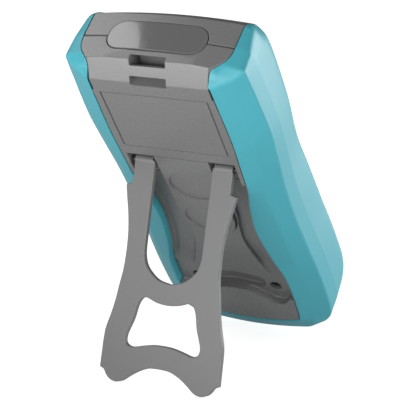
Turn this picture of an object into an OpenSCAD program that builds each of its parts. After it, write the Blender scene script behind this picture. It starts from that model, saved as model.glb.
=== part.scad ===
// Handheld digital multimeter leaning on its folding tilt stand.
// Local frame of every module: x to the right seen from the back, y up the body, z out of the back.
// place() leans that frame on the stand so that the origin is the bottom centre of the whole part.

/* [Body] */
// Length of the case, bottom edge to top end
body_length = 205; // [203:0.5:208]
// Widest width over the rubber boot
body_width = 97.2; // [96:0.1:99]
// Depth, front face to back face
body_depth = 44; // [43.5:0.5:47]
// Wall of the two case halves
wall = 2.2; // [1.8:0.1:2.4]
// Thickness of the front plate
front_t = 2.4; // [2.2:0.1:2.6]
// Depth of the case parting line below the back face
parting_depth = 19.6; // [19:0.1:20.5]

/* [Stand] */
// Angle the stand opens from the back
stand_open = 53.6; // [48:0.1:56]
// Plate thickness of the stand
stand_t = 3.4; // [3:0.1:3.6]
// Depth of the hinge axis below the back face
pivot_depth = 2.5; // [2.4:0.05:2.7]
// Radius of the hinge knuckle
knuckle_r = 2.4; // [2.2:0.05:2.45]
// Radius of the hinge pin
hinge_pin_r = 1.25; // [1:0.05:1.3]
// Radial play of the hinge pin in the case
hinge_play = 0.05; // [0.02:0.01:0.08]
// Gap all round the folded stand
stand_gap = 0.6; // [0.4:0.05:0.8]

/* [Front] */
// Radius of the selector knob
knob_r = 23.5; // [20:0.5:25]
// Height of the selector knob above the face
knob_h = 11.5; // [9:0.5:14]
// Radius of the selector shaft
shaft_r = 6; // [5:0.1:7]
// Radial play of the selector shaft in the face
shaft_play = 0.05; // [0.02:0.01:0.08]
// Spacing of the input jacks
jack_pitch = 19; // [18:0.5:19]
// Bore radius of a jack sleeve for a 4 mm plug
jack_bore_r = 2.03; // [2.01:0.01:2.06]
// Button width
key_w = 13; // [11:0.5:14]
// Button height up the face
key_l = 8; // [7:0.5:8.5]
// Side gap of a button in its hole
key_gap = 0.4; // [0.3:0.05:0.5]
// Travel of a button
key_travel = 1; // [0.6:0.1:1.1]

/* [Power] */
// Battery width
battery_w = 26.2; // [25.5:0.1:26.4]
// Battery length
battery_l = 46.4; // [45:0.1:46.6]
// Battery thickness
battery_t = 16.8; // [15.5:0.1:17]
// Case screw shank radius
screw_r = 1.45; // [1.3:0.05:1.5]
// Case screw head radius
head_r = 2.8; // [2.5:0.05:2.9]

/* [Hidden] */
$fn = 48;
eps = 0.01;
ky = body_length / 205;
kx = body_width / 97.2;
T = body_depth;
zp = T - parting_depth;

// Half outlines, right side, from the bottom up: heights and half widths of the boot's creases
ys = [12, 31, 52, 62, 72, 92, 112, 122, 141, 159, 185];
edge_w = [31.9, 33.4, 32.6, 30.3, 28.4, 26.4, 28.6, 30.6, 31.7, 32.4, 31.8];
soft_w = [39, 39.8, 39.9, 39.8, 39.6, 38.8, 38.4, 38.6, 40, 41, 38.6];
wide_w = [47, 47.8, 47.4, 46.8, 46.2, 45.4, 45.7, 46.2, 47.7, 48.6, 47.3];
front_w = [45.4, 46, 45.4, 44.8, 44.5, 43.8, 42.9, 43.2, 44.8, 45.3, 44.8];
soft_dz = 3.5;
wide_dz = 9.5;
boot_bottom_y = -4.6;
boot_front_y = -1.2;

// Top end: bowed across, bent to the back and cut slanting to the front
y_top = 204.3 * ky;
crown = 2.7;
crown_w = 39.4;
bend_y = 206.1 * ky;
bend_dz = 6.2;
facet_y = 196.5 * ky;
end_z = 10;
edge_top_w = 31.2;
case_top_w = 39;
// Rubber left in front of the case, and the steps of the case under the boot's lip
rim = 4.8;
lip_dz = 5;
shoulder_dz = 9;

// Heights between those where the boot's lip meets the case
lip_ys = [20, 41, 57, 67, 81, 101, 117, 131, 150, 172];

function side(w, d = 0, k = 1) = [for (i = [0:len(ys) - 1]) [w[i] * k + d, ys[i] * ky]];
function width_at(w, y) = lookup(y, [for (i = [0:len(ys) - 1]) [ys[i], w[i]]]);
function shrunk(r) = [for (p = r) [p[0] * 0.7, p[1] * 0.8 + 19 * ky]];
function sx(p, k = 1) = [for (q = p) [q[0] * k, q[1] * ky]];
function both(h) = concat(h, [for (i = [len(h) - 1:-1:0]) if (h[i][0] > eps) [-h[i][0], h[i][1]]]);

ring_front = both(concat(sx([[0, boot_front_y], [16, -0.8], [30, 0.6], [36.2, 3], [40.6, 7.6]], kx),
    side(front_w, -2.6, kx), sx([[41, 189], [36, 194.2], [26, 196], [0, 197.4]], kx)));
ring_edge = both(concat(sx([[0, -4], [16.5, -3.6], [31, -2.4], [37.8, 0.2], [42.8, 5.6]], kx),
    side(front_w, -0.3, kx), sx([[42.8, 192.5], [37.6, 199.4], [27, 201], [0, 202.4]], kx)));
ring_low = both(concat(sx([[0, -5], [17, -4.7], [32, -3.6], [39, -1], [44.2, 5]], kx),
    side(front_w, 0.5, kx), sx([[44, 196], [39.8, 203.8], [28, 205.8], [0, 207.2]], kx)));
ring_mid = both(concat(sx([[0, -5.5], [18, -5.2], [32.6, -4.3], [39.5, -1.6], [44.6, 4.8]], kx),
    side(wide_w, -0.7, kx), sx([[45.6, 196.5], [43.6, 203.4], [30, 205.8], [0, 207.4]], kx)));
ring_wide = both(concat(sx([[0, -5.6], [18, -5.3], [33, -4.3], [40, -1.6], [45.2, 4.8]], kx),
    side(wide_w, 0, kx), sx([[46.3, 196.8], [44.4, 202.8], [30, 205.6], [0, 207]], kx)));
ring_soft = both(concat(sx([[0, boot_bottom_y], [16, -3.4], [28, -1.2], [34.4, 0.6], [38.2, 4.6]], kx),
    side(soft_w, 0, kx), sx([[35.2, 196], [33.6, 201.6], [20, 202.3], [0, 202.6]], kx)));
ring_back = both(concat(sx([[0, 6.2], [10, 6.6], [20, 8], [27, 9.6], [31, 11]]),
    side(edge_w, 0.4), sx([[31.6, 196], [31.2, 198], [20, 198.4], [0, 198.6]])));
rings = [shrunk(ring_front), ring_front, ring_edge, ring_low, ring_mid, ring_wide, ring_soft, ring_back,
    shrunk(ring_back)];
ring_z = [0, 0, end_z / 2, end_z, T - 23, T - wide_dz, T - soft_dz, T, T];

// Fits and places shared by several pieces
pivot_y = 135.46 * ky;
stand_back = pivot_depth - 0.5;
seat_dz = 0.5 + stand_t + 0.4;
floor_dz = seat_dz + 2.7;
pocket_dz = pivot_depth + knuckle_r + 2.6;
bar_y = 142.3 * ky;
battery_play = 0.6;
nub_l = 1;
contact_t = 0.9;
well_w = battery_w / 2 + 0.9;
well_y1 = 133.4 * ky;
well_y0 = well_y1 - contact_t - nub_l - battery_l - battery_play;
cover_w = well_w + 0.6;
cover_y0 = well_y0 - 7.1;
cover_y1 = well_y1 + 8.1;
cover_dz = 5.5;
cover_gap = 0.2;
cover_screw_y = well_y0 - 3;
cover_slope = atan(2.5 / (cover_y1 - cover_y0));
cheek_x = 28.8;
arm_out = cheek_x - 2.4;
arm_in = cover_w + 0.9;
well_z = T - cover_dz - battery_t - 0.4;
cav_dz = 11.2;
slot_w = 18.4;
cap_w = 25.5;
cap_t = 0.8;
cap_dz0 = 11.5;
cap_dz1 = 29;
screw_xy = [[22.7, 35.2 * ky], [-22.7, 35.2 * ky], [9.4, well_y1 + 5], [-9.4, well_y1 + 5]];
screw_post_r = 3.2;
head_dz = seat_dz + 5.7;
board_z = 10;
board_t = 1.6;
board_back = board_z + board_t;
post_r = 3.2;
function room_w(y) = width_at(front_w, y) * kx - rim - wall;
post_xy = [for (y = [139, 50]) for (m = [1, -1]) [m * (room_w(y) - post_r - 1.4), y * ky]];
board_gap = 0.6;
knob_y = 84 * ky;
bearing_z = 4.4;
rotor_z = bearing_z + 0.6;
rotor_t = 1.6;
rotor_r = 17;
jack_y = 24.5 * ky;
jack_x = [-1.5 * jack_pitch, -0.5 * jack_pitch, 0.5 * jack_pitch, 1.5 * jack_pitch];
sleeve_r = 3;
shroud_r = 6.4;
key_y = 127 * ky;
mat_w = room_w(127) - 2.6;
key_pitch = (mat_w - key_w / 2 - 0.5) / 1.5;
key_x = [-1.5 * key_pitch, -0.5 * key_pitch, 0.5 * key_pitch, 1.5 * key_pitch];
view_w = 27.5;
view_l = 36;
lens_edge = 4.5;
lens_w = view_w + lens_edge;
lens_mid = 168.5 * ky;
lens_y0 = lens_mid - view_l / 2 - lens_edge;
lens_y1 = lens_mid + view_l / 2 + lens_edge;
lens_t = 1.5;

// Lean: the boot's bottom edge and the stand's feet stand on one level
foot_s = 110.2 * ky;
foot_t = stand_back - stand_t;
foot_y = pivot_y - foot_s * cos(stand_open) + foot_t * sin(stand_open);
foot_w = -pivot_depth + foot_s * sin(stand_open) + foot_t * cos(stand_open);
lean = atan((foot_y - boot_bottom_y * ky) / (foot_w + soft_dz));
lift = soft_dz * sin(lean) + boot_bottom_y * ky * cos(lean);
y_max = bend_y * sin(lean) - bend_dz * cos(lean);
y_min = boot_front_y * ky * sin(lean) - T * cos(lean);

// Node to draw

module place() {
    translate([0, -(y_max + y_min) / 2, -lift])
        rotate([90 + lean, 0, 180])
            translate([0, 0, -T])
                children();
}

module along_x(w) {
    translate([-w / 2, 0, 0])
        rotate([90, 0, 90])
            linear_extrude(w)
                children();
}

module along_y(y0, y1) {
    translate([0, y1, 0])
        rotate([90, 0, 0])
            linear_extrude(y1 - y0)
                children();
}

module slab(half, z0, z1) {
    translate([0, 0, z0])
        linear_extrude(z1 - z0)
            polygon(both(half));
}

module rod(x, y, z0, z1, r) {
    translate([x, y, z0])
        cylinder(h = z1 - z0, r = r);
}

module block(x0, x1, y0, y1, z0, z1) {
    translate([x0, y0, z0])
        cube([x1 - x0, y1 - y0, z1 - z0]);
}

module two_sided() {
    children();
    mirror([1, 0, 0])
        children();
}

// Outline of the case inside the boot, d further in
function case_half(d, top) = concat(
    sx([[0, 2 + d], [14, 2.6 + d], [27.5, 4.2 + d], [35.6 - d * 0.7, 8 + d * 0.7]]),
    side(front_w, -rim - d, kx),
    [[case_top_w * kx - d, top], [0, top]]);
// Outline of the grey back inside the boot's lip, d further out
function back_half(d, top) = concat(
    sx([[0, 6.6 - d], [13, 7.4 - d], [24, 9.4 - d], [30.4 + d, 11.6 - d]]),
    [for (y = lip_ys) [width_at(edge_w, y) + d, y * ky]],
    [[edge_top_w + d, 191 * ky], [edge_top_w + d, top], [0, top]]);

// Space the two case halves fill inside the boot
module case_room(top, z0, z1) {
    difference() {
        union() {
            slab(case_half(0, top), z0, T - shoulder_dz);
            slab(back_half(3, top), T - shoulder_dz, T - lip_dz);
            slab(back_half(0, top), T - lip_dz, z1);
        }
        two_sided()
            along_y(186 * ky, top + 1)
                polygon([[40, T - 20], [38.4, T - 14], [35.8, T - 9.8], [32, T - 5.7],
                    [edge_top_w - 0.2, T - 3], [edge_top_w - 0.2, T + 3], [60, T + 3], [60, T - 20]]);
    }
}

// Bowed top end, d further out, and its slanting cut towards the front
function crown_half(t0, k, d) = [for (t = [t0:-0.2:0]) [crown_w * t, crown * k * (1 - t * t) + d]];

module top_end(d) {
    intersection() {
        translate([0, y_top, -10])
            linear_extrude(T + 20)
                polygon(both(concat([[0, -250], [60, -250], [60, d]], crown_half(1, 1, d))));
        translate([0, y_top, end_z])
            rotate([-45, 0, 0])
                translate([0, 0, -300])
                    linear_extrude(600)
                        polygon(both(concat([[0, -400], [60, -400], [60, d]],
                            crown_half(1.1, cos(45), d))));
        along_x(130)
            polygon([[-20, -10], [y_top + crown + d, -10], [y_top + crown + d, T - 19.6],
                [bend_y + d, T - bend_dz], [facet_y + d, T], [facet_y + d, T + 5], [-20, T + 5]]);
    }
}

module case_solid(z0, z1) {
    intersection() {
        case_room(y_top + crown + 3, 0, T);
        top_end(0);
        block(-60, 60, -10, y_top + 10, z0, z1);
    }
}

module cap2d(d) {
    z0 = T - cap_dz1 - d;
    z1 = T - cap_dz0 + d;
    w = cap_w + d;
    translate([-w, z0])
        square([2 * w, z1 - z0 - 8]);
    translate([8 - w, z0])
        square([2 * w - 16, z1 - z0]);
    for (m = [-1, 1])
        translate([m * (w - 8), z1 - 8])
            circle(r = 8);
}

module sensor_cap() {
    color("#6b7076")
        intersection() {
            along_y(y_top - cap_t + 0.05, y_top + crown + 2)
                cap2d(-0.1);
            top_end(0.4);
        }
}

module screw_posts(r, z0, z1) {
    for (p = screw_xy)
        rod(p[0], p[1], z0, z1, r);
}

module front_case() {
    color("#7d7f80")
        difference() {
            union() {
                difference() {
                    case_solid(0, zp);
                    slab(case_half(wall, 194 * ky), front_t, zp + 1);
                }
                for (p = post_xy)
                    rod(p[0], p[1], front_t - 0.4, board_z, post_r);
                screw_posts(screw_post_r, front_t - 0.4, zp);
                rod(0, knob_y, front_t - 0.4, bearing_z, shaft_r + 3);
            }
            block(-lens_w - 0.1, lens_w + 0.1, lens_y0 - 0.1, lens_y1 + 0.1, -1, lens_t + 0.05);
            block(-view_w, view_w, lens_mid - view_l / 2, lens_mid + view_l / 2, -1, front_t + 1);
            for (x = key_x)
                block(x - key_w / 2 - key_gap, x + key_w / 2 + key_gap, key_y - key_l / 2 - key_gap,
                    key_y + key_l / 2 + key_gap, -1, front_t + 1);
            rod(0, knob_y, -1, bearing_z + 1, shaft_r + shaft_play);
            for (x = jack_x) {
                rod(x, jack_y, -1, front_t + 1, shroud_r);
                rod(x, jack_y, front_t, board_z, shroud_r + 0.7);
            }
            for (p = post_xy)
                rod(p[0], p[1], 4, board_z + 1, 1.1);
            screw_posts(screw_r, 12, zp + 1);
            along_y(y_top - cap_t, y_top + crown + 2)
                cap2d(0);
        }
}

function arch_half(d) = sx([[0, 34.66 - d], [5.5, 34.26 - d], [11, 32.06 - d], [16, 28.76 - d],
    [19.2, 26.26 - d], [21.8, 25.26 - d], [24, 25.16 - d], [26.6, 26.1 - d], [28.6, 27.9 - d],
    [30.2, 30.3 - d], [32.4, 31.2 - d]]);

module cover2d(d) {
    translate([0, cover_y0 + cover_w])
        circle(r = cover_w + d);
    translate([-cover_w - d, cover_y0 + cover_w])
        square([2 * (cover_w + d), cover_y1 - cover_y0 - cover_w + d]);
}

module strap_tunnel() {
    along_x(slot_w)
        translate([0, T])
            polygon([[y_top + 4, -8.4], [y_top + 4, -3], [203.6 * ky, -4.6], [201.9 * ky, -7.2],
                [197.5 * ky, -4.3], [199.2 * ky, -1.75], [200.4 * ky, 2], [194.8 * ky, 2],
                [194.8 * ky, -6.2], [199.5 * ky, -9.8], [203 * ky, -10.4]]);
}

module back_case() {
    color("#7d7f80")
        difference() {
            union() {
                difference() {
                    case_solid(zp, T);
                    slab(case_half(wall, 192 * ky), zp - 1, T - cav_dz);
                    block(-28.6, 28.6, 146 * ky, 189 * ky, zp, T - 2.4);
                    block(-26, 26, 12 * ky, 21 * ky, zp, T - 2.4);
                }
                screw_posts(4.6, zp, T - cav_dz + 1);
                rod(0, cover_screw_y, T - 18, T - cav_dz + 1, 3.2);
                block(-well_w - 1.6, well_w + 1.6, well_y0 - 1.6, well_y1 + 1.6, well_z - 1.2,
                    T - cav_dz + 1);
            }
            // seat of the folded stand, the lower floor inside it and the two hinge pockets
            slab(concat(arch_half(stand_gap), [[40, 31.2 * ky - stand_gap], [40, 127 * ky],
                [cheek_x, 127 * ky], [cheek_x, bar_y], [0, bar_y]]), T - seat_dz, T + 1);
            slab(concat(sx([[0, 34.06], [8, 33], [12.6, 31.4], [17, 36.5], [20.4, 42], [22.6, 47.8],
                [20.6, 58], [16.8, 69.5]]), [[cover_w + 0.2, cover_y0 - 1.8], [0, cover_y0 - 1.8]]),
                T - floor_dz, T + 1);
            two_sided() {
                block(arm_in + 0.5, cheek_x, 122 * ky, bar_y, T - pocket_dz, T + 1);
                translate([cheek_x - 1, pivot_y, T - pivot_depth])
                    rotate([0, 90, 0])
                        cylinder(h = 3.1, r = hinge_pin_r + hinge_play);
            }
            block(-well_w, well_w, well_y0, well_y1, well_z, T + 1);
            translate([0, 0, T - cover_dz])
                linear_extrude(cover_dz + 1)
                    cover2d(cover_gap);
            block(-6.2, 6.2, cover_y1, cover_y1 + 3, T - cover_dz, T - 4.1);
            rod(0, cover_screw_y, T - 17, T, 1.1);
            screw_posts(screw_r + 0.2, zp - 1, T);
            screw_posts(head_r + 0.3, T - head_dz, T + 1);
            strap_tunnel();
            along_y(y_top - cap_t, y_top + crown + 2)
                cap2d(0);
            // engraved outline of the bare label field
            for (y = [148.8 * ky, 187.8 * ky])
                block(-28, 28, y - 0.3, y + 0.3, T - 0.4, T + 1);
            two_sided()
                block(27.4, 28, 148.8 * ky, 187.8 * ky, T - 0.4, T + 1);
        }
}

module bumper_boot() {
    n = len(ring_front);
    color("#5db0be")
        difference() {
            polyhedron(
                points = [for (k = [0:len(rings) - 1]) for (p = rings[k]) [p[0], p[1], ring_z[k]]],
                faces = concat(
                    [[for (i = [0:n - 1]) i]],
                    [[for (i = [n - 1:-1:0]) (len(rings) - 1) * n + i]],
                    [for (k = [0:len(rings) - 2]) for (i = [0:n - 1]) [k * n + i, (k + 1) * n + i,
                        (k + 1) * n + (i + 1) % n]],
                    [for (k = [0:len(rings) - 2]) for (i = [0:n - 1]) [k * n + i,
                        (k + 1) * n + (i + 1) % n, k * n + (i + 1) % n]]));
            case_room(y_top + 10, -2, T + 2);
        }
}

module case_screws() {
    color("#9a9a98")
        for (p = screw_xy)
            difference() {
                union() {
                    rod(p[0], p[1], 13, T - head_dz, screw_r);
                    rod(p[0], p[1], T - head_dz, T - head_dz + 2, head_r);
                }
                block(p[0] - 1.7, p[0] + 1.7, p[1] - 0.4, p[1] + 0.4, T - head_dz + 1, T - head_dz + 3);
                block(p[0] - 0.4, p[0] + 0.4, p[1] - 1.7, p[1] + 1.7, T - head_dz + 1, T - head_dz + 3);
            }
}

module battery_cover() {
    color("#858788")
        difference() {
            union() {
                intersection() {
                    translate([0, 0, T - cover_dz])
                        linear_extrude(cover_dz)
                            cover2d(0);
                    along_x(40)
                        polygon([[cover_y0, T - cover_dz], [cover_y1, T - cover_dz], [cover_y1, T - 0.5],
                            [cover_y0, T - 3]]);
                }
                block(-6, 6, cover_y1 - 1, cover_y1 + 2.6, T - cover_dz, T - 4.3);
            }
            for (y = [cover_y0 + 14.1, cover_y1 - 22])
                translate([0, y, T - 0.5 - (cover_y1 - y) * tan(cover_slope) - 0.4])
                    rotate([cover_slope, 0, 0])
                        linear_extrude(3)
                            scale([1, 0.88])
                                circle(r = cover_w - 2);
            rod(0, cover_screw_y, T - cover_dz - 1, T, 1.5);
            rod(0, cover_screw_y, T - 4.4, T, 2.7);
        }
}

module battery_cover_screw() {
    color("#9a9a98")
        difference() {
            union() {
                rod(0, cover_screw_y, T - 14, T - 4.4, 1.1);
                rod(0, cover_screw_y, T - 4.4, T - 3.2, 2.4);
            }
            block(-1.5, 1.5, cover_screw_y - 0.35, cover_screw_y + 0.35, T - 3.8, T);
        }
}

module battery() {
    y0 = well_y0 + battery_play;
    z0 = well_z;
    color("#3c4148") {
        block(-battery_w / 2, battery_w / 2, y0, y0 + battery_l, z0, z0 + battery_t);
        for (m = [-1, 1])
            translate([m * 6.35, y0 + battery_l + nub_l, z0 + battery_t / 2])
                rotate([90, 0, 0])
                    cylinder(h = nub_l + 0.2, r = 3);
    }
}

module battery_contacts() {
    y = well_y1 - contact_t;
    color("#c9b25a")
        for (m = [-1, 1])
            block(m * 6.35 - 4, m * 6.35 + 4, y, well_y1, well_z, well_z + battery_t - 2);
}

// Half outlines of the stand, distances down from its hinge
stand_side = [[arm_out, 11.8], [29.6, 12.9], [28.6, 18.4], [27.1, 25.5], [25.9, 33.3], [25.4, 40.4],
    [25.4, 47.8], [25.9, 55.3], [27.1, 62.8], [28.2, 70.2], [29.8, 77.5], [31.8, 85.2], [32.2, 91]];
stand_u = [[0, 58.9], [6, 57.6], [10, 55], [13.6, 51], [15.2, 46], [arm_in, 42]];
stand_hole = [[0, 89.3], [5.5, 89.6], [10.8, 90.7], [16.7, 92], [19.4, 90.9], [20.3, 88],
    [17.3, 78.5], [15.3, 70], [13.2, 67.2], [11, 67], [6, 68.7], [0, 69.4]];

// Flat stand, folded: pivot on the x axis, feet towards minus y, its seen face at stand_back
module stand_flat() {
    foot = [for (p = arch_half(0)) [p[0], p[1] - pivot_y]];
    translate([0, 0, stand_back - stand_t])
        linear_extrude(stand_t)
            difference() {
                polygon(both(concat(foot, [for (i = [len(stand_side) - 1:-1:0])
                    [stand_side[i][0], -stand_side[i][1] * ky]], [[arm_out, 0], [0, 0]])));
                polygon(both(concat([for (p = stand_u) [p[0], -p[1] * ky]], [[arm_in, 5], [0, 5]])));
                polygon(both([for (p = stand_hole) [p[0], -p[1] * ky]]));
            }
    two_sided()
        translate([arm_in + 1, 0, 0])
            rotate([0, 90, 0])
                cylinder(h = arm_out - arm_in - 1, r = knuckle_r);
}

module on_hinge() {
    translate([0, pivot_y, T - pivot_depth])
        rotate([-stand_open, 0, 0])
            children();
}

module tilt_stand() {
    color("#8d8f90")
        on_hinge()
            difference() {
                stand_flat();
                two_sided()
                    translate([arm_out - 7, 0, 0])
                        rotate([0, 90, 0])
                            cylinder(h = 8, r = hinge_pin_r);
            }
}

module hinge_pins() {
    color("#b5b6b4")
        on_hinge()
            two_sided()
                translate([arm_out - 7, 0, 0])
                    rotate([0, 90, 0])
                        cylinder(h = cheek_x + 1.6 - arm_out + 7, r = hinge_pin_r);
}

module display_lens() {
    color("#2a2d30")
        block(-lens_w, lens_w, lens_y0, lens_y1, 0, lens_t);
}

module lcd_frame() {
    color("#d8d6cf")
        difference() {
            block(-view_w - 4, view_w + 4, lens_y0 + 1, lens_y1 - 1, front_t, board_z);
            block(-view_w - 2, view_w + 2, lens_y0 + 3, lens_y1 - 3, front_t + 0.6, board_z + 1);
            block(-view_w, view_w, lens_mid - view_l / 2, lens_mid + view_l / 2, front_t - 1, board_z + 1);
        }
}

module lcd_glass() {
    color("#aeb5a6")
        block(-view_w - 1.8, view_w + 1.8, lens_y0 + 3.2, lens_y1 - 3.2, front_t + 0.6, front_t + 3.4);
}

module backlight() {
    color("#eef0ea")
        block(-view_w - 1.8, view_w + 1.8, lens_y0 + 7, lens_y1 - 3.2, front_t + 3.4, front_t + 6);
}

module zebra_strips() {
    color("#4a4440")
        block(-view_w, view_w, lens_y0 + 3.4, lens_y0 + 6.4, front_t + 3.4, board_z);
}

module main_board() {
    color("#2f6b46")
        difference() {
            slab(case_half(wall + board_gap, 192.4 * ky), board_z, board_back);
            screw_posts(screw_post_r + 0.3, board_z - 1, board_back + 1);
            for (p = post_xy)
                rod(p[0], p[1], board_z - 1, board_back + 1, 1.4);
            for (x = jack_x)
                rod(x, jack_y, board_z - 1, board_back + 1, sleeve_r + 0.05);
        }
}

module board_screws() {
    color("#9a9a98")
        for (p = post_xy) {
            rod(p[0], p[1], 4.6, board_back, 1.1);
            rod(p[0], p[1], board_back, board_back + 1.6, 2.3);
        }
}

module keypad_mat() {
    color("#55585c") {
        block(-mat_w, mat_w, key_y - key_l / 2 - 1.2, key_y + key_l / 2 + 1.2, board_z - 1.4, board_z);
        for (x = key_x)
            rod(x, key_y, board_z - 2.6, board_z - 1.3, 3);
    }
}

module key(x) {
    color("#3f4347") {
        block(x - key_w / 2, x + key_w / 2, key_y - key_l / 2, key_y + key_l / 2, -1.5, front_t + 2);
        block(x - key_w / 2 - 1, x + key_w / 2 + 1, key_y - key_l / 2 - 1, key_y + key_l / 2 + 1,
            front_t + 0.4, front_t + 1.6);
        rod(x, key_y, front_t + 1.5, board_z - 2.8 - key_travel, 2.2);
    }
}

module key_1() {
    key(key_x[0]);
}

module key_2() {
    key(key_x[1]);
}

module key_3() {
    key(key_x[2]);
}

module key_4() {
    key(key_x[3]);
}

module selector_knob() {
    color("#34373a")
        difference() {
            union() {
                rod(0, knob_y, -knob_h * 0.45, -0.5, knob_r);
                intersection() {
                    rod(0, knob_y, -knob_h, -knob_h * 0.4, knob_r - 0.6);
                    block(-6, 6, knob_y - knob_r, knob_y + knob_r, -knob_h, 0);
                }
                rod(0, knob_y, -0.6, rotor_z, shaft_r);
                block(-2, 2, knob_y - 2, knob_y + 2, rotor_z - 0.1, rotor_z + rotor_t);
            }
            block(-0.8, 0.8, knob_y + knob_r - 12, knob_y + knob_r - 2, -knob_h - 1, -knob_h + 0.5);
        }
}

module selector_rotor() {
    color("#e4e2dc")
        difference() {
            rod(0, knob_y, rotor_z, rotor_z + rotor_t, rotor_r);
            block(-2, 2, knob_y - 2, knob_y + 2, rotor_z - 1, rotor_z + rotor_t + 1);
        }
}

module selector_wipers() {
    z0 = rotor_z + rotor_t;
    color("#c79a4b")
        for (a = [90, 210, 330])
            translate([0, knob_y, 0])
                rotate([0, 0, a]) {
                    block(4, 15, -1.5, 1.5, z0, z0 + 0.6);
                    block(12, 15, -1.5, 1.5, z0 + 0.5, board_z - 0.3);
                }
}

module jack_sleeves() {
    color("#c8a04e")
        for (x = jack_x)
            difference() {
                union() {
                    rod(x, jack_y, 1.2, board_back + 4, sleeve_r);
                    rod(x, jack_y, board_back, board_back + 1, sleeve_r + 1.2);
                }
                rod(x, jack_y, 0, board_back + 3, jack_bore_r);
            }
}

module shroud(x) {
    difference() {
        union() {
            rod(x, jack_y, -0.8, board_z, shroud_r);
            rod(x, jack_y, front_t, front_t + 1.2, shroud_r + 0.6);
        }
        rod(x, jack_y, 1.2, board_z + 1, sleeve_r + 0.05);
        rod(x, jack_y, -2, 3, sleeve_r + 0.6);
    }
}

module jack_shroud_common() {
    color("#2b2b2c")
        shroud(jack_x[1]);
}

module jack_shrouds() {
    color("#b23a32")
        for (i = [0, 2, 3])
            shroud(jack_x[i]);
}

module fuse(y, r, l) {
    translate([-l / 2, y, board_back + 1 + r])
        rotate([0, 90, 0])
            cylinder(h = l, r = r);
}

module fuse_large() {
    color("#e6e1d3")
        fuse(60 * ky, 5.15, 38);
}

module fuse_small() {
    color("#d9d4c6")
        fuse(46 * ky, 3.15, 32);
}

module clip(x, y, r) {
    difference() {
        block(x - 2.5, x + 2.5, y - r - 0.8, y + r + 0.8, board_back, board_back + 1 + r * 1.4);
        fuse(y, r, 60);
    }
}

module fuse_clips() {
    color("#c2c4c3") {
        for (m = [-1, 1]) {
            clip(m * 15, 60 * ky, 5.15);
            clip(m * 12.5, 46 * ky, 3.15);
        }
    }
}

module current_shunt() {
    color("#a98f63")
        difference() {
            block(-8, 8, 36 * ky, 37.6 * ky, board_back, board_back + 7);
            block(-6, 6, 35 * ky, 39 * ky, board_back - 1, board_back + 5);
        }
}

module surge_discs() {
    color("#3a5d9a")
        for (x = [25, 31])
            translate([x - 1.8, 72 * ky, board_back + 5])
                rotate([0, 90, 0])
                    cylinder(h = 3.6, r = 5);
}

module input_resistors() {
    color("#6d8fb0")
        for (y = [74, 79, 84])
            translate([4, y * ky, board_back + 1.8])
                rotate([0, 90, 0])
                    cylinder(h = 15, r = 1.8);
}

module measuring_chips() {
    color("#26282b") {
        block(-7, 7, 160 * ky, 174 * ky, board_back, board_back + 1.7);
        block(-6, 6, 142 * ky, 152 * ky, board_back, board_back + 1.7);
        block(14, 20, 150 * ky, 155 * ky, board_back, board_back + 1.5);
    }
}

module buzzer() {
    color("#1f2022")
        difference() {
            rod(-22, 76 * ky, board_back, board_back + 6, 8);
            rod(-22, 76 * ky, board_back + 5, board_back + 7, 1.2);
        }
}

place() {
    front_case();
    back_case();
    bumper_boot();
    sensor_cap();
    case_screws();
    battery_cover();
    battery_cover_screw();
    battery();
    battery_contacts();
    tilt_stand();
    hinge_pins();
    display_lens();
    lcd_frame();
    lcd_glass();
    backlight();
    zebra_strips();
    main_board();
    board_screws();
    keypad_mat();
    key_1();
    key_2();
    key_3();
    key_4();
    selector_knob();
    selector_rotor();
    selector_wipers();
    jack_sleeves();
    jack_shroud_common();
    jack_shrouds();
    fuse_large();
    fuse_small();
    fuse_clips();
    current_shunt();
    surge_discs();
    input_resistors();
    measuring_chips();
    buzzer();
}
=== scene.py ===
# %% [markdown]
# # A handheld multimeter on its tilt stand
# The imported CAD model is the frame: its bodies, joints and sizes are fixed. This lesson dresses it.
# The soft boot, the case, the stand and the controls are modelled again with rounded edges, and every
# other CAD part keeps its shape and gets a finish.

# %% Load the frame
import math
import bpy
from mathutils import Matrix, Vector


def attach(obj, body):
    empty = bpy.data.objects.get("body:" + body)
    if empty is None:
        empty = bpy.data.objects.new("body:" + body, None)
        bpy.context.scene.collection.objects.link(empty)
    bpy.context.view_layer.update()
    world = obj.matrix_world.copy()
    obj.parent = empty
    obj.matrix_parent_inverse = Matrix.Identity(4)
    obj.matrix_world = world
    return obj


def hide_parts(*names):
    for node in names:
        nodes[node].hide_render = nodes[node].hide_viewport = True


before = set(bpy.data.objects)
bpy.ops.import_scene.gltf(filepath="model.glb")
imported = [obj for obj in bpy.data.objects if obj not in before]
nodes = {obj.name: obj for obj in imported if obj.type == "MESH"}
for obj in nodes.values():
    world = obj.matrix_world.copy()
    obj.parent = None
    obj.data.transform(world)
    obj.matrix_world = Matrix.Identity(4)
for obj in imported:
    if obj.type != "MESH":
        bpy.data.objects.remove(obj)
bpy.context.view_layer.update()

# %% [markdown]
# ## The meter's own frame
# Every outline is easiest to read on the flat meter: x to the right seen from behind, y up the body,
# z out of the back, all in millimetres. When a piece is done, one matrix leans it back on its stand
# and turns millimetres to metres, and the transform is applied, so its place is in its mesh.

# %% The lean of the meter
DEPTH = 44.0
PIVOT_Y, PIVOT_DZ, STAND_OPEN = 135.46, 2.5, math.radians(53.6)
STAND_BACK, STAND_T = 2.0, 3.4
FOOT_S, FOOT_T = 110.2, STAND_BACK - STAND_T
SOFT_DZ, BOOT_BOTTOM, BOOT_FRONT = 3.5, -4.6, -1.2
BEND_Y, BEND_DZ, FACET_Y = 206.1, 6.2, 196.5

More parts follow.
